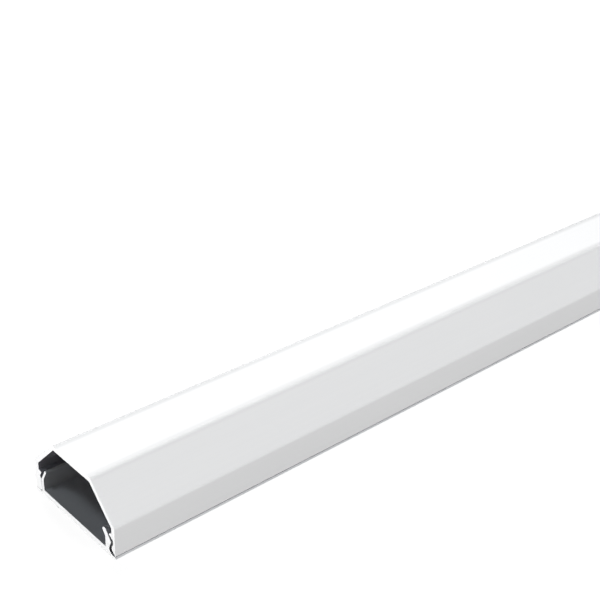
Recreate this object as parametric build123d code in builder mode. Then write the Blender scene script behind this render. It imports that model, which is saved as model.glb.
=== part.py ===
"""Snap-cover cord raceway: a wall base with two rails, and a faceted cover that clips over them.

The frame has +X along the raceway, +Y across it and +Z away from the wall or floor that it lies on.
The origin is at the middle of the base's back. Both pieces are extrusions with a constant section.
The cover hooks close against the rail on the +Y side and snaps loosely over the one on the -Y side.
"""
import os
from math import atan2, cos, radians, sin, tan

from build123d import *

# Overall sizes, millimetres
LENGTH = 750.0
WIDTH = 50.0
HEIGHT = 26.0

# Cover shell
COVER_WALL = 1.7
RIDGE_WIDTH = 23.4
BROW_HEIGHT = 13.0
RIDGE_RADIUS = 2.0
BROW_RADIUS = 1.6
SHELL_INNER_RADIUS = 0.5

# Base floor and its dished feet, which reach out to the full width
FLOOR_THICKNESS = 2.2
FLOOR_CORNER_RADIUS = 0.4
FOOT_EDGE = 0.9
FOOT_LAND = 1.5
DISH_INSET = 4.8

# Snap rail: an upright with a bead outside, and a lip above it that leans inwards
BEAD_INSET = 2.2
BEAD_HEIGHT = 6.0
BEAD_RADIUS = 1.0
RAIL_WIDTH = 3.4
LIP_KNEE = 6.8
LIP_TOP = 10.6
LIP_LEAN = 37.0
LIP_KNEE_RADIUS = 1.2
LIP_TIP_FLAT = 0.3

# Hook rail: a thinner upright without a bead, and a taller lip
HOOK_INSET = 4.0
HOOK_RAIL_WIDTH = 1.55
HOOK_BEND = 6.4
HOOK_KNEE = 7.2
HOOK_TOP = 11.6
HOOK_LEAN = 29.0

# Cover's snap clip: a barb, a recess outside the bead, and a round toe that hangs under it
CLIP_GAP = 1.2
FOOT_GAP = 0.4
TOE_INSET = 2.35
TOE_HEIGHT = 3.4
TOE_RADIUS = 1.6
RECESS_TOP = 7.5
BARB_INSET = 3.5
BARB_HEIGHT = 9.0
BARB_RISE = 1.25
BARB_RADIUS = 0.3

# Cover's hook side: a thicker skirt, and a clip close to the upright with a pocket outside the lip
HOOK_WALL = 2.5
HOOK_BROW = 12.65
HOOK_RIDGE_INSET = 0.4
HOOK_GAP = 0.15
HOOK_TOE_RADIUS = 1.0
POCKET_HEIGHT = 7.3
HOOK_BARB_HEIGHT = 9.6

# Screw slots across the floor
SLOT_PITCH = 150.0
SLOT_COUNT = 4
SLOT_LENGTH = 20.0
SLOT_WIDTH = 6.0
SLOT_CORNER_RADIUS = 1.5

# Places across the section, from the middle outwards
half_width = WIDTH / 2
half_ridge = RIDGE_WIDTH / 2
bead_y = half_width - BEAD_INSET
floor_y = bead_y - RAIL_WIDTH
dish_y = half_width - DISH_INSET

# Snap lip: two parallel sides, the outer one up from the bead and the inner one up from the knee
lean = radians(LIP_LEAN)
lip_thickness = (RAIL_WIDTH - (LIP_KNEE - BEAD_HEIGHT) * tan(lean)) * cos(lean)
lip_tip_radius = (lip_thickness - LIP_TIP_FLAT) / 2
lip_outer_y = bead_y - (LIP_TOP - BEAD_HEIGHT) * tan(lean)
lip_inner_y = lip_outer_y - lip_thickness * cos(lean)
lip_inner_z = LIP_TOP - lip_thickness * sin(lean)

# Hook lip: the same, with its outer side up from the bend of the upright
hook_lean = radians(HOOK_LEAN)
hook_y = half_width - HOOK_INSET
hook_floor_y = hook_y - HOOK_RAIL_WIDTH
hook_thickness = (HOOK_RAIL_WIDTH - (HOOK_KNEE - HOOK_BEND) * tan(hook_lean)) * cos(hook_lean)
hook_tip_radius = (hook_thickness - LIP_TIP_FLAT) / 2
hook_outer_y = hook_y - (HOOK_TOP - HOOK_BEND) * tan(hook_lean)
hook_inner_y = hook_outer_y - hook_thickness * cos(hook_lean)
hook_inner_z = HOOK_TOP - hook_thickness * sin(hook_lean)

# Dish of the snap side's foot, a round that ends at the land along the foot's edge
dish_angle = atan2(BEAD_HEIGHT - FOOT_EDGE, bead_y - dish_y)
dish_radius = (DISH_INSET - FOOT_LAND) * tan(dish_angle / 2)

# Inner side of the cover, one wall in from the outer side
slope = atan2(HEIGHT - BROW_HEIGHT, half_width - half_ridge)
skirt_y = half_width - COVER_WALL
brow_inner_z = BROW_HEIGHT - COVER_WALL * tan((radians(90) - slope) / 2)
ridge_inner_y = half_ridge - COVER_WALL * tan(slope / 2)
ceiling_z = HEIGHT - COVER_WALL

# Snap clip: its recess keeps the gap from the bead, and its toe comes down to a gap over the foot
recess_y = bead_y + CLIP_GAP
barb_y = half_width - BARB_INSET
toe_y = half_width - TOE_INSET
toe_z = FOOT_EDGE + FOOT_GAP

# Hook clip: its pocket and its barb keep the same gap from the lip's outer side
contact_y = hook_y + HOOK_GAP
hook_toe_z = FOOT_EDGE + HOOK_GAP
pocket_gap = CLIP_GAP / cos(hook_lean)
pocket_y = hook_y - (POCKET_HEIGHT - HOOK_BEND) * tan(hook_lean) + pocket_gap
hook_barb_y = hook_y - (HOOK_BARB_HEIGHT - HOOK_BEND) * tan(hook_lean) + pocket_gap
hook_skirt_y = half_width - HOOK_WALL
hook_ridge_y = half_ridge - HOOK_RIDGE_INSET

# Wall base, drawn from the snap side's foot over both rails to the hook side's foot
with BuildPart() as base_channel:
    with BuildSketch(Plane.YZ):
        with BuildLine():
            front = FilletPolyline(
                (-half_width, FOOT_EDGE),
                (-dish_y, FOOT_EDGE),
                (-bead_y, BEAD_HEIGHT),
                (-lip_outer_y, LIP_TOP),
                (-lip_inner_y, lip_inner_z),
                (-floor_y, LIP_KNEE),
                (-floor_y, FLOOR_THICKNESS),
                (hook_floor_y, FLOOR_THICKNESS),
                (hook_floor_y, HOOK_KNEE),
                (hook_inner_y, hook_inner_z),
                (hook_outer_y, HOOK_TOP),
                (hook_y, HOOK_BEND),
                (hook_y, FOOT_EDGE),
                (half_width, FOOT_EDGE),
                radius=[
                    dish_radius,
                    BEAD_RADIUS,
                    lip_tip_radius,
                    lip_tip_radius,
                    LIP_KNEE_RADIUS,
                    FLOOR_CORNER_RADIUS,
                    FLOOR_CORNER_RADIUS,
                    LIP_KNEE_RADIUS,
                    hook_tip_radius,
                    hook_tip_radius,
                    BEAD_RADIUS,
                    FLOOR_CORNER_RADIUS,
                ],
            )
            Polyline(front @ 1, (half_width, 0), (-half_width, 0), front @ 0)
        make_face()
    extrude(amount=LENGTH / 2, both=True)
    with BuildSketch():
        with GridLocations(SLOT_PITCH, 0, SLOT_COUNT, 1):
            RectangleRounded(SLOT_WIDTH, SLOT_LENGTH, SLOT_CORNER_RADIUS)
    extrude(amount=FLOOR_THICKNESS, mode=Mode.SUBTRACT)

# Snap cover, drawn over the outside and back through both clips
with BuildPart() as snap_cover:
    with BuildSketch(Plane.YZ):
        with BuildLine():
            outside = FilletPolyline(
                (-half_width, toe_z),
                (-half_width, BROW_HEIGHT),
                (-half_ridge, HEIGHT),
                (half_ridge, HEIGHT),
                (half_width, BROW_HEIGHT),
                (half_width, hook_toe_z),
                radius=[BROW_RADIUS, RIDGE_RADIUS, RIDGE_RADIUS, BROW_RADIUS],
            )
            FilletPolyline(
                outside @ 1,
                (contact_y, hook_toe_z),
                (contact_y, HOOK_BEND),
                (pocket_y, POCKET_HEIGHT),
                (hook_barb_y, HOOK_BARB_HEIGHT),
                (hook_skirt_y, HOOK_BARB_HEIGHT),
                (hook_skirt_y, HOOK_BROW),
                (hook_ridge_y, ceiling_z),
                (-ridge_inner_y, ceiling_z),
                (-skirt_y, brow_inner_z),
                (-skirt_y, BARB_HEIGHT + BARB_RISE),
                (-barb_y, BARB_HEIGHT),
                (-recess_y, RECESS_TOP),
                (-recess_y, BEAD_HEIGHT),
                (-toe_y, TOE_HEIGHT),
                outside @ 0,
                radius=[
                    HOOK_TOE_RADIUS,
                    BARB_RADIUS,
                    SHELL_INNER_RADIUS,
                    BARB_RADIUS,
                    BARB_RADIUS,
                    SHELL_INNER_RADIUS,
                    SHELL_INNER_RADIUS,
                    SHELL_INNER_RADIUS,
                    SHELL_INNER_RADIUS,
                    BARB_RADIUS,
                    BARB_RADIUS,
                    SHELL_INNER_RADIUS,
                    BEAD_RADIUS,
                    TOE_RADIUS,
                ],
            )
        make_face()
    extrude(amount=LENGTH / 2, both=True)

# Files, one for each piece
base_channel.part.label = "base_channel"
snap_cover.part.label = "snap_cover"
os.makedirs("parts", exist_ok=True)
export_step(base_channel.part, "parts/base_channel.step")
export_step(snap_cover.part, "parts/snap_cover.step")
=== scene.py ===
"""Cord cover raceway: a wall base and a snap cover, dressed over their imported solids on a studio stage.

The frame has +X along the raceway, +Y across it and +Z away from the floor that it lies on, in metres.
Both pieces are extrusions, so each one is drawn as a section, drawn out along X and rounded off.
The cover hooks close against the rail on the +Y side and snaps loosely over the one on the -Y side.
"""
import math
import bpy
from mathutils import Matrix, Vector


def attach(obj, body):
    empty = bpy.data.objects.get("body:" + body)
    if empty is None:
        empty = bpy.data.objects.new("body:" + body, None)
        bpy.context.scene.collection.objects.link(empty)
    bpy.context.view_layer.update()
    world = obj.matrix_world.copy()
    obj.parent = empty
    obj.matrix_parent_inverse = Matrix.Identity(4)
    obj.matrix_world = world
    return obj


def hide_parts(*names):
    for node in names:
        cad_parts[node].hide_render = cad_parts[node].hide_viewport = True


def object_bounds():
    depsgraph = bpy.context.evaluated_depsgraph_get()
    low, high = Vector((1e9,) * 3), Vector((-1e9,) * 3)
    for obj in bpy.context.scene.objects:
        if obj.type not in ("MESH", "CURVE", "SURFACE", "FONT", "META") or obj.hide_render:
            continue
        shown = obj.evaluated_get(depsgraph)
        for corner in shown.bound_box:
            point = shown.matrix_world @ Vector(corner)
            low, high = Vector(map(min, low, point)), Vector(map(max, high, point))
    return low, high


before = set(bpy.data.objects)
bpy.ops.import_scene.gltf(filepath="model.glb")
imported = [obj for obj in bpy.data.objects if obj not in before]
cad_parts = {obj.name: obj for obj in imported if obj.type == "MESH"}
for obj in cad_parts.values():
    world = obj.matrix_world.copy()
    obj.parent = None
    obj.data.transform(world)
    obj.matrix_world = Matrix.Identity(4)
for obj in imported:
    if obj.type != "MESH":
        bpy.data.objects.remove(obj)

from types import SimpleNamespace

import bmesh
import bpy
from bpy.props import FloatProperty, FloatVectorProperty, IntProperty, PointerProperty
from mathutils import Matrix, Vector

bl_info = {
    "name": "Cord Cover Raceway",
    "version": (1, 0, 0),
    "blender": (4, 5, 0),
    "location": "View3D > Sidebar > Raceway",
    "description": "Models a snap-cover cord raceway over its solids and sets its studio stage",
    "category": "Add Mesh",
}

CAD_LOW, CAD_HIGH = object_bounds()
CAD_SIZE = CAD_HIGH - CAD_LOW
MM = 0.001
WHITE = (1.0, 1.0, 1.0, 1.0)

# Modelling: how near counts as touching, how fine the rounds are, and which way a face looks
TOUCH = 0.004 * MM
ARC_STEP = math.radians(7.5)
LEAST_ARC_STEPS = 2
SLOT_CORNER_STEPS = 8
CUT_EDGE_STEPS = 2
SQUARE_CORNER_PROFILE = 0.5
SMOOTH_ANGLE = math.radians(50)
FLAT_WEIGHT = 100
LEVEL_SHARE = 0.5
DOWNWARD = -0.99

# Plastic: ranges of noise that its tone and gloss follow, and the bumps of its surface
PLASTIC_IOR = 1.53
TONE_RANGE = (0.35, 0.65)
GLOSS_RANGE = (0.3, 0.7)
GLOSS_CHANGE = 0.06
BREAK_RANGE = (0.25, 0.6)
BREAK_SHARE = (0.7, 1.0)
LINE_STRETCH = (0.004, 1.0, 1.0)
LINE_DETAIL = 2.0
LINE_ROUGHNESS = 0.6
LINE_STRENGTH = 0.25
LINE_DEPTH = 0.02 * MM
CLOUD_STRETCH = (9.0, 40.0, 40.0)
CLOUD_DETAIL = 3.0
GRAIN_DETAIL = 2.0
GRAIN_STRENGTH = 0.2
GRAIN_DEPTH = 0.01 * MM

# Sawn ends: marks in rings about the blade's middle, which lies outside the snap side and above.
# The wave texture repeats once in WAVE_PERIOD at a scale of 1.
SAWN_ROUGHNESS = 0.6
SAWN_TONE_RANGE = (0.1, 0.5)
FROM_BLADE = (0.0, 70.0 * MM, -95.0 * MM)
WAVE_PERIOD = 0.314
MARK_DISTORTION = 1.5
MARK_DETAIL = 3.0
MARK_DETAIL_SCALE = 1.5
MARK_STRENGTH = 0.3
MARK_DEPTH = 0.02 * MM

# Stage: the floor's mottle, and where the camera starts to see
FLOOR_ROUGHNESS = 0.9
MOTTLE_SCALE = 6.0
MOTTLE_DETAIL = 2.0
MOTTLE_RANGE = (0.3, 0.7)
MOTTLE_SHADE = 0.99
CLIP_START = 0.01


# Properties

def distance(name, description, default):
    """A length that a user may change, held in metres."""
    return FloatProperty(
        name=name, description=description, default=default, min=0.0, precision=4,
        subtype="DISTANCE", unit="LENGTH",
    )


def turn(name, description, degrees):
    """An angle that a user may change, given in degrees and held in radians."""
    return FloatProperty(
        name=name, description=description, default=math.radians(degrees),
        subtype="ANGLE", unit="ROTATION",
    )


def direction(name, description, default):
    """A direction that a user may change."""
    return FloatVectorProperty(
        name=name, description=description, default=default, size=3, subtype="DIRECTION",
    )


def colour(name, description, default):
    """A linear colour that a user may change."""
    return FloatVectorProperty(
        name=name, description=description, default=default, size=3, min=0.0, max=1.0, subtype="COLOR",
    )


def amount(name, description, default):
    """A plain number that a user may change."""
    return FloatProperty(name=name, description=description, default=default, min=0.0, precision=3)


class RacewaySizes(bpy.types.PropertyGroup):
    """Sizes of the section and of what is cut into it."""

    length: distance("Length", "Length of both pieces", CAD_SIZE.x)
    width: distance("Width", "Width over the feet and the skirts", CAD_SIZE.y)
    height: distance("Height", "Height from the back to the ridge facet", CAD_SIZE.z)
    cover_wall: distance("Cover Wall", "Thickness of the cover's shell", 1.7 * MM)
    ridge_width: distance("Ridge Width", "Width of the flat facet on top", 23.4 * MM)
    brow_height: distance("Brow Height", "Height where the slope meets the skirt", 13.0 * MM)
    ridge_radius: distance("Ridge Radius", "Round between the top facet and the slope", 2.0 * MM)
    brow_radius: distance("Brow Radius", "Round between the slope and the skirt", 1.6 * MM)
    shell_inner_radius: distance("Shell Inner Radius", "Round inside the shell's corners", 0.5 * MM)
    floor_thickness: distance("Floor Thickness", "Thickness of the base's floor", 2.2 * MM)
    floor_corner_radius: distance("Floor Corner Radius", "Round where rail and floor meet", 0.4 * MM)
    foot_edge: distance("Foot Edge", "Thickness of the foot along its edge", 0.9 * MM)
    foot_land: distance("Foot Land", "Flat along the foot's edge, outside its dish", 1.5 * MM)
    dish_inset: distance("Dish Inset", "How far the foot's dish reaches in", 4.8 * MM)
    bead_inset: distance("Bead Inset", "How far the snap rail's bead stands in", 2.2 * MM)
    bead_height: distance("Bead Height", "Height of the snap rail's bead", 6.0 * MM)
    bead_radius: distance("Bead Radius", "Round of the bead and of the recess over it", 1.0 * MM)
    rail_width: distance("Rail Width", "Width of the snap rail from its bead to the floor", 3.4 * MM)
    lip_knee: distance("Lip Knee", "Height where the snap lip starts to lean in", 6.8 * MM)
    lip_top: distance("Lip Top", "Height that the snap lip's two sides are drawn up to", 10.6 * MM)
    lip_lean: turn("Lip Lean", "Lean of the snap lip from upright", 37.0)
    lip_knee_radius: distance("Lip Knee Radius", "Round of a lip's knee", 1.2 * MM)
    lip_tip_flat: distance("Lip Tip Flat", "Flat left between the rounds of a lip's tip", 0.3 * MM)
    hook_inset: distance("Hook Inset", "How far the hook rail stands in", 4.0 * MM)
    hook_rail_width: distance("Hook Rail Width", "Thickness of the hook rail's upright", 1.55 * MM)
    hook_bend: distance("Hook Bend", "Height where the hook rail's outer side bends in", 6.4 * MM)
    hook_knee: distance("Hook Knee", "Height where the hook lip's inner side leans in", 7.2 * MM)
    hook_top: distance("Hook Top", "Height that the hook lip's two sides are drawn up to", 11.6 * MM)
    hook_lean: turn("Hook Lean", "Lean of the hook lip from upright", 29.0)
    clip_gap: distance("Clip Gap", "Clearance between the snap rail and the cover's clip", 1.2 * MM)
    foot_gap: distance("Foot Gap", "Clearance between the snap side's foot and the cover", 0.4 * MM)
    toe_inset: distance("Toe Inset", "How far the snap clip's toe reaches in", 2.35 * MM)
    toe_height: distance("Toe Height", "Height of the snap clip's toe", 3.4 * MM)
    toe_radius: distance("Toe Radius", "Round of the snap clip's toe", 1.6 * MM)
    recess_top: distance("Recess Top", "Height of the recess outside the bead", 7.5 * MM)
    barb_inset: distance("Barb Inset", "How far the snap barb reaches in", 3.5 * MM)
    barb_height: distance("Barb Height", "Height of the snap barb's tip", 9.0 * MM)
    barb_rise: distance("Barb Rise", "Rise of the snap barb's upper side", 1.25 * MM)
    barb_radius: distance("Barb Radius", "Round of the barbs", 0.3 * MM)
    hook_wall: distance("Hook Wall", "Thickness of the hook side's skirt", 2.5 * MM)
    hook_brow: distance("Hook Brow", "Height of the corner inside the hook side's brow", 12.65 * MM)
    hook_ridge_inset: distance("Hook Ridge Inset", "How far that ridge's inner corner is in", 0.4 * MM)
    hook_gap: distance("Hook Gap", "Clearance between the hook rail and the cover's clip", 0.15 * MM)
    hook_toe_radius: distance("Hook Toe Radius", "Round of the hook clip's toe", 1.0 * MM)
    pocket_height: distance("Pocket Height", "Height of the pocket outside the hook lip", 7.3 * MM)
    hook_barb_height: distance("Hook Barb Height", "Height of the hook clip's barb", 9.6 * MM)
    slot_pitch: distance("Slot Pitch", "Spacing of the screw slots along the base", 150.0 * MM)
    slot_length: distance("Slot Length", "Length of a screw slot across the base", 20.0 * MM)
    slot_width: distance("Slot Width", "Width of a screw slot along the base", 6.0 * MM)
    slot_corner_radius: distance("Slot Corner Radius", "Round in a slot's corners", 1.5 * MM)
    cut_edge: distance("Cut Edge", "Softened edge round the sawn ends", 0.05 * MM)
    slot_count: IntProperty(
        name="Slot Count", description="Number of screw slots in the base", default=4, min=1,
    )


class RacewayFinish(bpy.types.PropertyGroup):
    """Colours, gloss and fine marks of the plastic, and the painted shade and highlight laid on it."""

    skin: colour("Skin", "Colour of the white outside", (0.800, 0.802, 0.806))
    skin_shade: colour("Skin Shade", "The outside in its dullest lines", (0.784, 0.787, 0.792))
    skin_gloss: amount("Skin Roughness", "Mean roughness of the satin outside", 0.64)
    # Painted shade: a grey line along both ridge rounds, where the outside turns from the light
    painted_ridge_shade: colour("Painted Ridge Shade", "Colour of the painted shade along both ridge rounds", (0.640, 0.642, 0.646))
    painted_ridge_shade_inset: distance("Painted Ridge Shade Inset", "How far in from the ridge that line lies", 1.1 * MM)
    painted_ridge_shade_reach: distance("Painted Ridge Shade Reach", "How far that line fades out to each side", 2.8 * MM)
    # Painted shade in part: the base's white is set greyer and bluer than the cover's, so that its inside
    # and the foot's edge read darker
    base_skin: colour("Base Skin", "Colour of the base's cool white", (0.680, 0.690, 0.708))
    base_skin_shade: colour("Base Shade", "The base in its dullest lines", (0.650, 0.660, 0.678))
    # Painted highlight: a paler line along the tops of both lips, where they catch the light
    painted_lip_highlight: colour("Painted Lip Highlight", "Colour of the painted highlight along the lip tops", (0.800, 0.805, 0.815))
    painted_lip_highlight_reach: distance("Painted Lip Highlight Reach", "How far down the lip its highlight fades out", 1.6 * MM)
    # Painted shade: a dark line under the bead, where its overhang shades the groove below
    painted_groove_shade: colour("Painted Groove Shade", "Painted shade line under the base's bead", (0.140, 0.144, 0.152))
    groove_inset: distance("Groove Inset", "How far in from the width that line lies", 3.2 * MM)
    groove_height: distance("Groove Height", "How high above the back that line lies", 1.9 * MM)
    groove_reach: distance("Groove Reach", "How far that line fades out all round", 2.2 * MM)
    # Painted shade: the cover's inside is the same white plastic, set grey so that it reads shaded
    cover_painted_shade_inside: colour("Cover Painted Shade Inside", "Painted shade colour of the cover's inside", (0.520, 0.516, 0.555))
    cover_painted_shade_inside_shade: colour("Painted Shade Inside Shade", "The inside in its darkest lines", (0.480, 0.476, 0.515))
    painted_shade_inside_gloss: amount("Painted Shade Inside Roughness", "Mean roughness of the inside", 0.55)
    sawn: colour("Sawn End", "Colour of the freshly cut ends", (0.900, 0.900, 0.900))
    sawn_shade: colour("Sawn Shade", "The cut ends between the saw's marks", (0.850, 0.851, 0.853))
    line_spacing: distance("Die Line Spacing", "Spacing of the lines left by the die", 0.8 * MM)
    grain_size: distance("Grain Size", "Size of the plastic's fine grain", 0.25 * MM)
    saw_pitch: distance("Saw Pitch", "Spacing of the marks on the sawn ends", 0.45 * MM)


class RacewayStage(bpy.types.PropertyGroup):
    """Floor, light and camera."""

    floor: colour("Floor", "Colour of the pale floor", (0.10, 0.10, 0.10))
    floor_white: amount("Floor White", "How bright the backlit floor looks", 0.93)
    floor_glow: amount("Floor Glow", "Light that the floor throws on the raceway", 0.06)
    floor_size: distance("Floor Size", "Side of the square floor", 40.0)
    floor_drop: distance("Floor Drop", "Clearance under the raceway", 0.1 * MM)
    sky: amount("Sky", "Strength of the white light from all round", 0.06)
    backdrop: amount("Backdrop", "How bright the empty backdrop looks", 1.05)
    key: amount("Key", "Strength of the broad light overhead", 3.40)
    key_from: direction("Key From", "Where the broad light shines from", (0.55, 0.97, 1.0))
    key_spread: turn("Key Spread", "Angle that the broad light fills", 36.0)
    side: amount("Side", "Strength of the light on the snap side", 2.37)
    side_from: direction("Side From", "Where the snap side's light shines from", (0.20, -1.0, 0.52))
    side_spread: turn("Side Spread", "Angle that the snap side's light fills", 18.0)
    fill: amount("Fill", "Strength of the light on the near end", 3.9)
    fill_from: direction("Fill From", "Where the near end's light shines from", (-1.0, -0.011, 0.004))
    fill_spread: turn("Fill Spread", "Angle that the near end's light fills", 1.0)
    mouth: amount("Mouth", "Strength of the light that falls just inside the near end", 0.24)
    mouth_from: direction("Mouth From", "Where the mouth's light shines from", (-0.36, 0.0, 1.0))
    mouth_spread: turn("Mouth Spread", "Angle that the mouth's light fills", 10.0)
    mouth_tint: colour("Mouth Tint", "Colour of the mouth's light", (0.860, 0.935, 1.000))
    lens: amount("Lens", "Focal length in millimetres on a 36 mm sensor", 68.97)
    camera_place: FloatVectorProperty(
        name="Camera Place", description="Camera from the middle of the near end's back edge",
        default=(-160.38 * MM, -278.21 * MM, 261.26 * MM), subtype="TRANSLATION", unit="LENGTH",
    )
    camera_heading: turn("Camera Heading", "Heading of the view from +X towards +Y", 46.588)
    camera_dip: turn("Camera Dip", "How far the view looks down", 28.480)
    camera_roll: turn("Camera Roll", "Turn of the camera about its view", 2.604)


# Sections of the two pieces

def lip_places(sizes, outer, inner, top, lean):
    """Tip of a lip whose two sides lean in from an outer and an inner corner of its rail, as (y, z)."""
    outer_y, outer_z = outer
    inner_y, inner_z = inner
    run = math.tan(lean)
    thickness = (outer_y - inner_y - (inner_z - outer_z) * run) * math.cos(lean)
    tip_y = outer_y - (top - outer_z) * run
    return SimpleNamespace(
        run=run,
        tip_y=tip_y,
        inner_y=tip_y - thickness * math.cos(lean),
        inner_z=top - thickness * math.sin(lean),
        radius=(thickness - sizes.lip_tip_flat) / 2,
    )


def rail_places(sizes):
    """Places of the two rails that the base and the cover's clips share, measured from the middle."""
    half_width = sizes.width / 2
    bead_y = half_width - sizes.bead_inset
    floor_y = bead_y - sizes.rail_width
    hook_y = half_width - sizes.hook_inset
    hook_floor_y = hook_y - sizes.hook_rail_width
    bead = (bead_y, sizes.bead_height)
    knee = (floor_y, sizes.lip_knee)
    hook_bend = (hook_y, sizes.hook_bend)
    hook_knee = (hook_floor_y, sizes.hook_knee)
    return SimpleNamespace(
        half_width=half_width,
        bead_y=bead_y,
        floor_y=floor_y,
        hook_y=hook_y,
        hook_floor_y=hook_floor_y,
        dish_y=half_width - sizes.dish_inset,
        snap_lip=lip_places(sizes, bead, knee, sizes.lip_top, sizes.lip_lean),
        hook_lip=lip_places(sizes, hook_bend, hook_knee, sizes.hook_top, sizes.hook_lean),
    )


def base_corners(sizes):
    """Corners of the base's section, from the snap side's foot over both rails, as (y, z, radius)."""
    rail = rail_places(sizes)
    snap = rail.snap_lip
    hook = rail.hook_lip
    dish_angle = math.atan2(sizes.bead_height - sizes.foot_edge, rail.bead_y - rail.dish_y)
    dish_radius = (sizes.dish_inset - sizes.foot_land) * math.tan(dish_angle / 2)
    return [
        (-rail.half_width, 0.0, 0.0),
        (-rail.half_width, sizes.foot_edge, 0.0),
        (-rail.dish_y, sizes.foot_edge, dish_radius),
        (-rail.bead_y, sizes.bead_height, sizes.bead_radius),
        (-snap.tip_y, sizes.lip_top, snap.radius),
        (-snap.inner_y, snap.inner_z, snap.radius),
        (-rail.floor_y, sizes.lip_knee, sizes.lip_knee_radius),
        (-rail.floor_y, sizes.floor_thickness, sizes.floor_corner_radius),
        (rail.hook_floor_y, sizes.floor_thickness, sizes.floor_corner_radius),
        (rail.hook_floor_y, sizes.hook_knee, sizes.lip_knee_radius),
        (hook.inner_y, hook.inner_z, hook.radius),
        (hook.tip_y, sizes.hook_top, hook.radius),
        (rail.hook_y, sizes.hook_bend, sizes.bead_radius),
        (rail.hook_y, sizes.foot_edge, sizes.floor_corner_radius),
        (rail.half_width, sizes.foot_edge, 0.0),
        (rail.half_width, 0.0, 0.0),
    ]


def cover_corners(sizes):
    """Corners of the cover's section, over the outside and back through its clips, as (y, z, radius)."""
    rail = rail_places(sizes)
    wall = sizes.cover_wall
    half_ridge = sizes.ridge_width / 2
    slope = math.atan2(sizes.height - sizes.brow_height, rail.half_width - half_ridge)
    skirt_y = rail.half_width - wall
    brow_inner_z = sizes.brow_height - wall * math.tan((math.pi / 2 - slope) / 2)
    ridge_inner_y = half_ridge - wall * math.tan(slope / 2)
    ceiling_z = sizes.height - wall
    recess_y = rail.bead_y + sizes.clip_gap
    barb_y = rail.half_width - sizes.barb_inset
    toe_y = rail.half_width - sizes.toe_inset
    toe_z = sizes.foot_edge + sizes.foot_gap
    contact_y = rail.hook_y + sizes.hook_gap
    hook_toe_z = sizes.foot_edge + sizes.hook_gap
    clear_y = rail.hook_y + sizes.clip_gap / math.cos(sizes.hook_lean)
    pocket_y = clear_y - (sizes.pocket_height - sizes.hook_bend) * rail.hook_lip.run
    hook_barb_y = clear_y - (sizes.hook_barb_height - sizes.hook_bend) * rail.hook_lip.run
    hook_skirt_y = rail.half_width - sizes.hook_wall
    hook_ridge_y = half_ridge - sizes.hook_ridge_inset
    return [
        (-rail.half_width, toe_z, 0.0),
        (-rail.half_width, sizes.brow_height, sizes.brow_radius),
        (-half_ridge, sizes.height, sizes.ridge_radius),
        (half_ridge, sizes.height, sizes.ridge_radius),
        (rail.half_width, sizes.brow_height, sizes.brow_radius),
        (rail.half_width, hook_toe_z, 0.0),
        (contact_y, hook_toe_z, sizes.hook_toe_radius),
        (contact_y, sizes.hook_bend, sizes.barb_radius),
        (pocket_y, sizes.pocket_height, sizes.shell_inner_radius),
        (hook_barb_y, sizes.hook_barb_height, sizes.barb_radius),
        (hook_skirt_y, sizes.hook_barb_height, sizes.barb_radius),
        (hook_skirt_y, sizes.hook_brow, sizes.shell_inner_radius),
        (hook_ridge_y, ceiling_z, sizes.shell_inner_radius),
        (-ridge_inner_y, ceiling_z, sizes.shell_inner_radius),
        (-skirt_y, brow_inner_z, sizes.shell_inner_radius),
        (-skirt_y, sizes.barb_height + sizes.barb_rise, sizes.barb_radius),
        (-barb_y, sizes.barb_height, sizes.barb_radius),
        (-recess_y, sizes.recess_top, sizes.shell_inner_radius),
        (-recess_y, sizes.bead_height, sizes.bead_radius),
        (-toe_y, sizes.toe_height, sizes.toe_radius),
    ]


# Modelling

def make_active(piece):
    """Leaves only this piece selected and active, in object mode."""
    bpy.ops.object.select_all(action="DESELECT")
    piece.select_set(True)
    bpy.context.view_layer.objects.active = piece


def start_piece(name):
    """A new object at the origin with a single vertex there, in edit mode."""
    if bpy.context.object and bpy.context.object.mode != "OBJECT":
        bpy.ops.object.mode_set(mode="OBJECT")
    bpy.ops.object.select_all(action="DESELECT")
    bpy.ops.mesh.primitive_plane_add(size=MM, location=(0.0, 0.0, 0.0))
    piece = bpy.context.object
    piece.name = name
    piece.data.name = name
    bpy.ops.object.mode_set(mode="EDIT")
    bpy.ops.mesh.select_mode(type="VERT")
    bpy.ops.mesh.merge(type="CENTER")
    return piece


def select_edges(piece, test):
    """Selects only those edges of the piece in edit mode whose two ends pass the test."""
    bpy.ops.mesh.select_mode(type="EDGE")
    mesh = bmesh.from_edit_mesh(piece.data)
    for edge in mesh.edges:
        first, second = edge.verts
        edge.select_set(test(first.co, second.co))
    mesh.select_flush_mode()
    bmesh.update_edit_mesh(piece.data)


def select_faces(piece, test):
    """Selects only those faces of the piece in edit mode whose middle and normal pass the test."""
    bpy.ops.mesh.select_mode(type="FACE")
    mesh = bmesh.from_edit_mesh(piece.data)
    for face in mesh.faces:
        face.select_set(test(face.calc_center_median(), face.normal))
    mesh.select_flush_mode()
    bmesh.update_edit_mesh(piece.data)


def draw_out(corners, length):
    """Draws a section through its sharp corners at the near end, fills it and draws it out along X."""
    places = [Vector((-length / 2, y, z)) for y, z, radius in corners]
    bpy.ops.transform.translate(value=places[0])
    for place, after in zip(places, places[1:] + places[:1]):
        bpy.ops.mesh.extrude_region_move(TRANSFORM_OT_translate={"value": after - place})
    bpy.ops.mesh.select_all(action="SELECT")
    bpy.ops.mesh.remove_doubles(threshold=TOUCH)
    bpy.ops.mesh.edge_face_add()
    bpy.ops.mesh.extrude_region_move(TRANSFORM_OT_translate={"value": (length, 0.0, 0.0)})
    bpy.ops.mesh.select_all(action="SELECT")
    bpy.ops.mesh.normals_make_consistent(inside=False)


def along_line(y, z):
    """A test for edges along the line through one corner of the section."""
    def is_near(place):
        return abs(place.y - y) < TOUCH and abs(place.z - z) < TOUCH

    return lambda first, second: is_near(first) and is_near(second)


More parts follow.
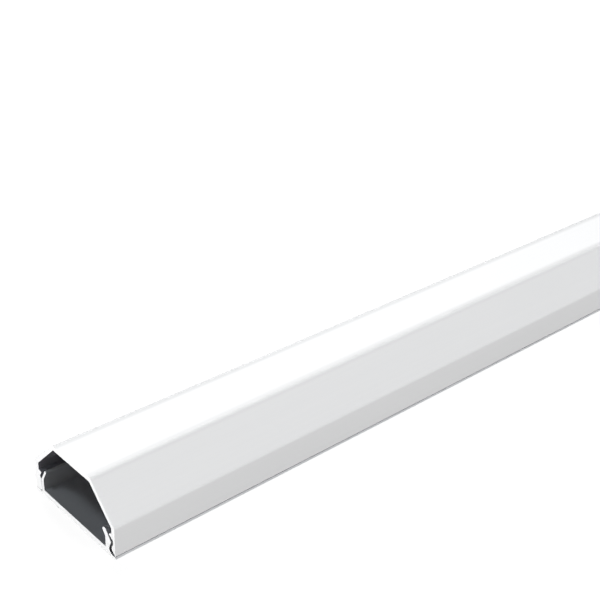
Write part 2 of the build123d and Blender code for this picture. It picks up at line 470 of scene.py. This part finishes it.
def round_corners(piece, corners):
    """Bevels the long edges of the drawn-out section, each to its own radius."""
    places = [Vector((y, z)) for y, z, radius in corners]
    around = zip(places[-1:] + places, places, places[1:] + places[:1], corners)
    for before, corner, after, (y, z, radius) in around:
        if radius == 0.0:
            continue
        half_angle = (before - corner).angle(after - corner) / 2
        sweep = math.pi - 2 * half_angle
        # A profile of 0.5 is round at a right angle only; this one is round at any angle
        round_profile = (1 - 0.5 / (1 + math.sin(half_angle))) ** 2
        select_edges(piece, along_line(y, z))
        bpy.ops.mesh.bevel(
            offset=radius / math.tan(half_angle), offset_type="OFFSET",
            segments=max(LEAST_ARC_STEPS, math.ceil(sweep / ARC_STEP)), profile=round_profile,
            affect="EDGES", clamp_overlap=False,
        )


def soften_ends(piece, length, cut_edge):
    """Breaks the edge round both sawn ends."""
    def is_at_end(place):
        return abs(abs(place.x) - length / 2) < TOUCH

    select_edges(piece, lambda first, second: is_at_end(first) and is_at_end(second))
    bpy.ops.mesh.bevel(
        offset=cut_edge, offset_type="OFFSET", segments=CUT_EDGE_STEPS, profile=SQUARE_CORNER_PROFILE,
        affect="EDGES", clamp_overlap=False,
    )


def punch_slots(piece, sizes):
    """Cuts the screw slots through the floor, with one rounded punch copied along the base."""
    thickness = sizes.floor_thickness
    first = -sizes.slot_pitch * (sizes.slot_count - 1) / 2
    punch = start_piece("slot_punch")
    corner = Vector((first - sizes.slot_width / 2, -sizes.slot_length / 2, -thickness))
    bpy.ops.transform.translate(value=corner)
    # The punch stands out past the floor by its thickness, above and below
    for step in ((sizes.slot_width, 0, 0), (0, sizes.slot_length, 0), (0, 0, 3 * thickness)):
        bpy.ops.mesh.extrude_region_move(TRANSFORM_OT_translate={"value": step})
        bpy.ops.mesh.select_all(action="SELECT")
    bpy.ops.mesh.normals_make_consistent(inside=False)
    select_edges(punch, lambda first, second: abs(first.z - second.z) > thickness)
    bpy.ops.mesh.bevel(
        offset=sizes.slot_corner_radius, offset_type="OFFSET", segments=SLOT_CORNER_STEPS,
        profile=SQUARE_CORNER_PROFILE, affect="EDGES",
    )
    bpy.ops.mesh.select_all(action="SELECT")
    for _ in range(sizes.slot_count - 1):
        bpy.ops.mesh.duplicate_move(TRANSFORM_OT_translate={"value": (sizes.slot_pitch, 0.0, 0.0)})
    bpy.ops.object.mode_set(mode="OBJECT")
    make_active(piece)
    cut = piece.modifiers.new("slots", "BOOLEAN")
    cut.operation = "DIFFERENCE"
    cut.solver = "EXACT"
    cut.object = punch
    bpy.ops.object.modifier_apply(modifier=cut.name)
    bpy.data.objects.remove(punch)


def paint(piece, materials_and_tests):
    """Gives the piece its materials in order, each one to the faces that pass its test."""
    make_active(piece)
    bpy.ops.object.mode_set(mode="EDIT")
    for index, (material, test) in enumerate(materials_and_tests):
        piece.data.materials.append(material)
        select_faces(piece, test)
        piece.active_material_index = index
        bpy.ops.object.material_slot_assign()
    bpy.ops.object.mode_set(mode="OBJECT")


def finish_piece(piece, body, node):
    """Smooths the rounds, keeps the flats flat, and hands the piece to its body."""
    make_active(piece)
    bpy.ops.object.shade_smooth_by_angle(angle=SMOOTH_ANGLE)
    flats = piece.modifiers.new("flats", "WEIGHTED_NORMAL")
    flats.keep_sharp = True
    flats.weight = FLAT_WEIGHT
    bpy.ops.object.modifier_apply(modifier=flats.name)
    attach(piece, body)
    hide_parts(node)
    piece.select_set(False)


# Materials

def add_node(tree, kind, links=None, **settings):
    """A new node in a tree, with its settings made and its inputs linked or set by name or number."""
    node = tree.nodes.new(kind)
    for setting, value in settings.items():
        setattr(node, setting, value)
    for name, source in (links or {}).items():
        if isinstance(source, bpy.types.NodeSocket):
            tree.links.new(source, node.inputs[name])
        else:
            node.inputs[name].default_value = source
    return node


def calculate(tree, operation, *values):
    """The result of a math node on one or two values."""
    return add_node(tree, "ShaderNodeMath", dict(enumerate(values)), operation=operation).outputs[0]


def stretch(tree, place, factors):
    """Coordinates multiplied by a factor along each axis."""
    scaled = add_node(tree, "ShaderNodeVectorMath", {0: place, 1: factors}, operation="MULTIPLY")
    return scaled.outputs[0]


def remap(tree, value, given, wanted, interpolation="LINEAR"):
    """A value that goes through the wanted range as another one goes through the given range."""
    ranges = {
        "Value": value,
        "From Min": given[0],
        "From Max": given[1],
        "To Min": wanted[0],
        "To Max": wanted[1],
    }
    node = add_node(tree, "ShaderNodeMapRange", ranges, interpolation_type=interpolation)
    return node.outputs["Result"]


def tone(tree, factor, light, dark, limits):
    """A colour that goes from dark to light as the factor goes through its limits."""
    ramp = add_node(tree, "ShaderNodeValToRGB", {"Fac": factor})
    low, high = ramp.color_ramp.elements
    low.position, high.position = limits
    low.color = (*dark, 1.0)
    high.color = (*light, 1.0)
    return ramp.outputs["Color"]


def lay_over(tree, share, below, above):
    """A colour laid over another one by a share. The mix node's colours are its sockets 6 and 7."""
    mix = add_node(tree, "ShaderNodeMix", {0: share, 6: below, 7: (*above, 1.0)}, data_type="RGBA")
    return mix.outputs[2]


def bump(tree, height, strength, depth, **links):
    """The normal of a surface with a small relief."""
    relief = {"Height": height, "Strength": strength, "Distance": depth, **links}
    return add_node(tree, "ShaderNodeBump", relief).outputs["Normal"]


def node_group(name, inputs, outputs):
    """A new shader node group with value sockets, apart from its Vector, and its two end nodes."""
    group = bpy.data.node_groups.new(name, "ShaderNodeTree")
    for socket_name, default in inputs.items():
        kind = "NodeSocketVector" if socket_name == "Vector" else "NodeSocketFloat"
        socket = group.interface.new_socket(name=socket_name, in_out="INPUT", socket_type=kind)
        if default is not None:
            socket.default_value = default
    for socket_name in outputs:
        group.interface.new_socket(name=socket_name, in_out="OUTPUT", socket_type="NodeSocketFloat")
    start = group.nodes.new("NodeGroupInput")
    end = group.nodes.new("NodeGroupOutput")
    return group, start, end


def use_group(tree, group, **links):
    """A node in a tree that stands for a shader node group."""
    return add_node(tree, "ShaderNodeGroup", links, node_tree=group)


def die_lines_group():
    """Lines that run along the extrusion: Lines for their height, Cloud for the slow change of tone."""
    if "die_lines" in bpy.data.node_groups:
        return bpy.data.node_groups["die_lines"]
    group, start, end = node_group("die_lines", {"Vector": None, "Spacing": MM}, ("Lines", "Cloud"))
    place = start.outputs["Vector"]
    fine = add_node(group, "ShaderNodeTexNoise", {
        "Vector": stretch(group, place, LINE_STRETCH),
        "Scale": calculate(group, "DIVIDE", 1.0, start.outputs["Spacing"]),
        "Detail": LINE_DETAIL,
        "Roughness": LINE_ROUGHNESS,
    })
    cloud = add_node(group, "ShaderNodeTexNoise", {
        "Vector": stretch(group, place, CLOUD_STRETCH),
        "Scale": 1.0,
        "Detail": CLOUD_DETAIL,
    })
    group.links.new(fine.outputs["Fac"], end.inputs["Lines"])
    group.links.new(cloud.outputs["Fac"], end.inputs["Cloud"])
    return group


def fine_grain_group():
    """Fine grain of the plastic's surface, even in all directions."""
    if "fine_grain" in bpy.data.node_groups:
        return bpy.data.node_groups["fine_grain"]
    group, start, end = node_group("fine_grain", {"Vector": None, "Size": MM}, ("Grain",))
    grain = add_node(group, "ShaderNodeTexNoise", {
        "Vector": start.outputs["Vector"],
        "Scale": calculate(group, "DIVIDE", 1.0, start.outputs["Size"]),
        "Detail": GRAIN_DETAIL,
    })
    group.links.new(grain.outputs["Fac"], end.inputs["Grain"])
    return group


def band_group():
    """A soft band along X at both sides of a piece: 1 on its middle line, down to 0 at its reach."""
    if "lengthwise_band" in bpy.data.node_groups:
        return bpy.data.node_groups["lengthwise_band"]
    sockets = {"Vector": None, "Side": 0.0, "Height": 0.0, "Reach": MM}
    group, start, end = node_group("lengthwise_band", sockets, ("Band",))
    place = add_node(group, "ShaderNodeSeparateXYZ", {0: start.outputs["Vector"]}).outputs
    from_middle = calculate(group, "ABSOLUTE", place["Y"])
    point = add_node(group, "ShaderNodeCombineXYZ", {"Y": from_middle, "Z": place["Z"]})
    middle_line = {"Y": start.outputs["Side"], "Z": start.outputs["Height"]}
    middle = add_node(group, "ShaderNodeCombineXYZ", middle_line)
    ends = {0: point.outputs[0], 1: middle.outputs[0]}
    apart = add_node(group, "ShaderNodeVectorMath", ends, operation="DISTANCE").outputs["Value"]
    band = remap(group, apart, (0.0, start.outputs["Reach"]), (1.0, 0.0), "SMOOTHSTEP")
    group.links.new(band, end.inputs["Band"])
    return group


def new_material(name):
    """A new material's node tree with its Principled shader and its Object coordinates."""
    material = bpy.data.materials.new(name)
    material.use_nodes = True
    tree = material.node_tree
    shader = tree.nodes["Principled BSDF"]
    shader.inputs["IOR"].default_value = PLASTIC_IOR
    place = tree.nodes.new("ShaderNodeTexCoord").outputs["Object"]
    return material, tree, shader, place


def extruded_plastic(name, light, dark, roughness, finish, bands=()):
    """Satin plastic with die lines along it, a fine grain and slow changes of tone and gloss.
    Each band is a line of another colour along both sides, broken up by the die lines."""
    material, tree, shader, place = new_material(name)
    drawn = use_group(tree, die_lines_group(), Vector=place, Spacing=finish.line_spacing)
    grained = use_group(tree, fine_grain_group(), Vector=place, Size=finish.grain_size)
    lines = drawn.outputs["Lines"]
    both = calculate(tree, "ADD", lines, drawn.outputs["Cloud"])
    mean = calculate(tree, "MULTIPLY", both, 0.5)
    body = tone(tree, mean, light, dark, TONE_RANGE)
    for band in bands:
        line = use_group(
            tree, band_group(), Vector=place, Side=band.side, Height=band.height, Reach=band.reach,
        )
        broken = remap(tree, lines, BREAK_RANGE, BREAK_SHARE)
        share = calculate(tree, "MULTIPLY", line.outputs["Band"], broken)
        body = lay_over(tree, share, body, band.colour)
    gloss = remap(tree, mean, GLOSS_RANGE, (roughness - GLOSS_CHANGE, roughness + GLOSS_CHANGE))
    relief = bump(tree, lines, LINE_STRENGTH, LINE_DEPTH)
    surface = bump(tree, grained.outputs["Grain"], GRAIN_STRENGTH, GRAIN_DEPTH, Normal=relief)
    tree.links.new(body, shader.inputs["Base Color"])
    tree.links.new(gloss, shader.inputs["Roughness"])
    tree.links.new(surface, shader.inputs["Normal"])
    return material


def sawn_plastic(name, finish):
    """Plastic as the saw leaves it: fine marks in wide arcs, over the plastic's grain."""
    material, tree, shader, place = new_material(name)
    shader.inputs["Roughness"].default_value = SAWN_ROUGHNESS
    from_blade = add_node(tree, "ShaderNodeMapping", {"Vector": place, "Location": FROM_BLADE})
    rings = {
        "Vector": from_blade.outputs[0],
        "Scale": WAVE_PERIOD / finish.saw_pitch,
        "Distortion": MARK_DISTORTION,
        "Detail": MARK_DETAIL,
        "Detail Scale": MARK_DETAIL_SCALE,
    }
    waves = add_node(tree, "ShaderNodeTexWave", rings, wave_type="RINGS", rings_direction="X")
    marks = waves.outputs["Fac"]
    grained = use_group(tree, fine_grain_group(), Vector=place, Size=finish.grain_size)
    mixed = calculate(tree, "MULTIPLY", marks, grained.outputs["Grain"])
    body = tone(tree, mixed, finish.sawn, finish.sawn_shade, SAWN_TONE_RANGE)
    tree.links.new(body, shader.inputs["Base Color"])
    tree.links.new(bump(tree, marks, MARK_STRENGTH, MARK_DEPTH), shader.inputs["Normal"])
    return material


# Stage

def lay_floor(stage):
    """A wide pale floor just under the raceway, with a soft mottle, which is backlit to look white."""
    under = (0.0, 0.0, CAD_LOW.z - stage.floor_drop)
    bpy.ops.mesh.primitive_plane_add(size=stage.floor_size, location=under)
    floor = bpy.context.object
    floor.name = "studio_floor"
    material, tree, shader, place = new_material("pale_floor")
    noise = {"Vector": place, "Scale": MOTTLE_SCALE, "Detail": MOTTLE_DETAIL}
    mottle = add_node(tree, "ShaderNodeTexNoise", noise).outputs["Fac"]
    duller = tuple(MOTTLE_SHADE * channel for channel in stage.floor)
    body = tone(tree, mottle, tuple(stage.floor), duller, MOTTLE_RANGE)
    seen = add_node(tree, "ShaderNodeLightPath").outputs["Is Camera Ray"]
    glow = remap(tree, seen, (0.0, 1.0), (stage.floor_glow, stage.floor_white))
    shader.inputs["Roughness"].default_value = FLOOR_ROUGHNESS
    shader.inputs["Emission Color"].default_value = WHITE
    tree.links.new(body, shader.inputs["Base Color"])
    tree.links.new(glow, shader.inputs["Emission Strength"])
    floor.data.materials.append(material)


def light_sky(scene, stage):
    """Faint white light from all round, in front of a backdrop that looks white."""
    world = bpy.data.worlds.new("studio_sky")
    scene.world = world
    world.use_nodes = True
    tree = world.node_tree
    sky = tree.nodes["Background"]
    sky.inputs["Color"].default_value = WHITE
    sky.inputs["Strength"].default_value = stage.sky
    bright = {"Color": WHITE, "Strength": stage.backdrop}
    backdrop = add_node(tree, "ShaderNodeBackground", bright)
    seen = add_node(tree, "ShaderNodeLightPath").outputs["Is Camera Ray"]
    either = {0: seen, 1: sky.outputs[0], 2: backdrop.outputs[0]}
    both = add_node(tree, "ShaderNodeMixShader", either)
    tree.links.new(both.outputs[0], tree.nodes["World Output"].inputs["Surface"])


def add_sun(name, shines_from, strength, spread, tint=(1.0, 1.0, 1.0)):
    """A distant soft light."""
    place = Vector(shines_from)
    turned = place.to_track_quat("Z", "Y").to_euler()
    bpy.ops.object.light_add(type="SUN", location=place, rotation=turned)
    light = bpy.context.object
    light.name = name
    light.data.energy = strength
    light.data.color = tint
    light.data.angle = spread


def hang_lights(stage):
    """Lights overhead, on the snap side, on the near end and into its mouth."""
    add_sun("overhead_light", stage.key_from, stage.key, stage.key_spread)
    add_sun("snap_side_light", stage.side_from, stage.side, stage.side_spread)
    add_sun("near_end_light", stage.fill_from, stage.fill, stage.fill_spread)
    add_sun("mouth_light", stage.mouth_from, stage.mouth, stage.mouth_spread, stage.mouth_tint)


def set_camera(scene, stage):
    """The camera at the photograph's angle, placed from the middle of the near end's back edge."""
    near_end = Vector((CAD_LOW.x, (CAD_LOW.y + CAD_HIGH.y) / 2, CAD_LOW.z))
    level = math.cos(stage.camera_dip)
    forward = Vector((
        level * math.cos(stage.camera_heading),
        level * math.sin(stage.camera_heading),
        -math.sin(stage.camera_dip),
    ))
    aim = forward.to_track_quat("-Z", "Y").to_matrix()
    turned = aim @ Matrix.Rotation(stage.camera_roll, 3, "Z")
    place = near_end + Vector(stage.camera_place)
    bpy.ops.object.camera_add(location=place, rotation=turned.to_euler())
    camera = bpy.context.object
    camera.name = "photo_camera"
    camera.data.lens = stage.lens
    camera.data.clip_start = CLIP_START
    scene.camera = camera


# Operators

class RACEWAY_OT_wall_base(bpy.types.Operator):
    """Model the wall base with its clip rails and screw slots"""

    bl_idname = "raceway.wall_base"
    bl_label = "Wall Base"

    def execute(self, context):
        sizes = context.scene.raceway_sizes
        finish = context.scene.raceway_finish
        hook = rail_places(sizes).hook_lip
        corners = base_corners(sizes)
        piece = start_piece("wall_base")
        draw_out(corners, sizes.length)
        round_corners(piece, corners)
        soften_ends(piece, sizes.length, sizes.cut_edge)
        bpy.ops.object.mode_set(mode="OBJECT")
        punch_slots(piece, sizes)
        # Painted highlight along the tops of both lips
        lip_highlights = SimpleNamespace(
            side=(hook.tip_y + hook.inner_y) / 2,
            height=sizes.hook_top,
            reach=finish.painted_lip_highlight_reach,
            colour=finish.painted_lip_highlight,
        )
        # Painted shade under the snap bead, laid the same way on the hook side
        groove_shading = SimpleNamespace(
            side=sizes.width / 2 - finish.groove_inset,
            height=finish.groove_height,
            reach=finish.groove_reach,
            colour=finish.painted_groove_shade,
        )
        # The base's greyer white is partly painted shade
        body = extruded_plastic(
            "base_cool_white", finish.base_skin, finish.base_skin_shade, finish.skin_gloss, finish,
            (lip_highlights, groove_shading),
        )
        sawn = sawn_plastic("base_sawn_white", finish)

        def is_cut(middle, normal):
            is_upright = abs(normal.z) < LEVEL_SHARE
            in_slot = is_upright and abs(middle.y) < sizes.slot_length / 2 + TOUCH
            return in_slot or abs(middle.x) > sizes.length / 2 - sizes.cut_edge

        paint(piece, ((body, lambda middle, normal: True), (sawn, is_cut)))
        finish_piece(piece, "base", "base_channel")
        return {"FINISHED"}


class RACEWAY_OT_faceted_cover(bpy.types.Operator):
    """Model the faceted cover that snaps over the rails"""

    bl_idname = "raceway.faceted_cover"
    bl_label = "Faceted Cover"

    def execute(self, context):
        sizes = context.scene.raceway_sizes
        finish = context.scene.raceway_finish
        half_width = sizes.width / 2
        half_ridge = sizes.ridge_width / 2
        corners = cover_corners(sizes)
        piece = start_piece("faceted_cover")
        draw_out(corners, sizes.length)
        round_corners(piece, corners)
        soften_ends(piece, sizes.length, sizes.cut_edge)
        bpy.ops.object.mode_set(mode="OBJECT")
        # Painted shade along both ridge rounds, where the top turns away from the light
        ridges = SimpleNamespace(
            side=half_ridge - finish.painted_ridge_shade_inset,
            height=sizes.height,
            reach=finish.painted_ridge_shade_reach,
            colour=finish.painted_ridge_shade,
        )
        # The inside faces get a grey painted shade in place of the white
        painted_shade_inside = extruded_plastic(
            "cover_grey_painted_shade_inside", finish.cover_painted_shade_inside, finish.cover_painted_shade_inside_shade, finish.painted_shade_inside_gloss,
            finish,
        )
        skin = extruded_plastic(
            "cover_satin_white", finish.skin, finish.skin_shade, finish.skin_gloss, finish, (ridges,),
        )
        sawn = sawn_plastic("cover_sawn_white", finish)
        rise = sizes.height - sizes.brow_height
        run = half_width - half_ridge
        slope_length = math.hypot(rise, run)
        skin_depth = sizes.cover_wall / 3

        def on_outside(middle, normal):
            from_side = half_width - abs(middle.y)
            from_top = sizes.height - middle.z
            from_slope = (rise * from_side - run * (middle.z - sizes.brow_height)) / slope_length
            on_toe = normal.z < DOWNWARD and middle.z < sizes.floor_thickness
            return on_toe or min(from_side, from_top, from_slope) < skin_depth

        def is_cut(middle, normal):
            return abs(middle.x) > sizes.length / 2 - sizes.cut_edge

        # Every face starts with the inside's painted shade; the outside and toe get the white skin, the
        # ends the sawn white
        paint(piece, ((painted_shade_inside, lambda middle, normal: True), (skin, on_outside), (sawn, is_cut)))
        finish_piece(piece, "cover", "snap_cover")
        return {"FINISHED"}


class RACEWAY_OT_studio_stage(bpy.types.Operator):
    """Lay the pale floor, hang the soft lights and set the camera"""

    bl_idname = "raceway.studio_stage"
    bl_label = "Studio Stage"

    def execute(self, context):
        scene = context.scene
        stage = scene.raceway_stage
        bpy.ops.object.select_all(action="DESELECT")
        lay_floor(stage)
        light_sky(scene, stage)
        hang_lights(stage)
        set_camera(scene, stage)
        scene.view_settings.view_transform = "Standard"
        return {"FINISHED"}


# Panel and registration

class RACEWAY_PT_sidebar(bpy.types.Panel):
    """Raceway sizes, finish, stage and the steps that make it"""

    bl_idname = "RACEWAY_PT_sidebar"
    bl_label = "Cord Cover Raceway"
    bl_space_type = "VIEW_3D"
    bl_region_type = "UI"
    bl_category = "Raceway"

    def draw(self, context):
        for step in STEPS:
            self.layout.operator(step.bl_idname)
        for name in SETTINGS:
            box = self.layout.box()
            settings = getattr(context.scene, name)
            for key in settings.bl_rna.properties.keys():
                if key not in {"rna_type", "name"}:
                    box.prop(settings, key)


STEPS = (RACEWAY_OT_wall_base, RACEWAY_OT_faceted_cover, RACEWAY_OT_studio_stage)
SETTINGS = {
    "raceway_sizes": RacewaySizes,
    "raceway_finish": RacewayFinish,
    "raceway_stage": RacewayStage,
}


def register():
    """Registers the classes and puts the settings on the scene."""
    for kind in (*SETTINGS.values(), *STEPS, RACEWAY_PT_sidebar):
        bpy.utils.register_class(kind)
    for name, kind in SETTINGS.items():
        setattr(bpy.types.Scene, name, PointerProperty(type=kind))


def unregister():
    """Takes the settings off the scene and the classes out."""
    for name in SETTINGS:
        delattr(bpy.types.Scene, name)
    for kind in (RACEWAY_PT_sidebar, *reversed(STEPS), *reversed(SETTINGS.values())):
        bpy.utils.unregister_class(kind)


def main():
    """Makes the pieces and the stage in order."""
    register()
    bpy.ops.raceway.wall_base()
    bpy.ops.raceway.faceted_cover()
    bpy.ops.raceway.studio_stage()


if __name__ == "__main__":
    main()
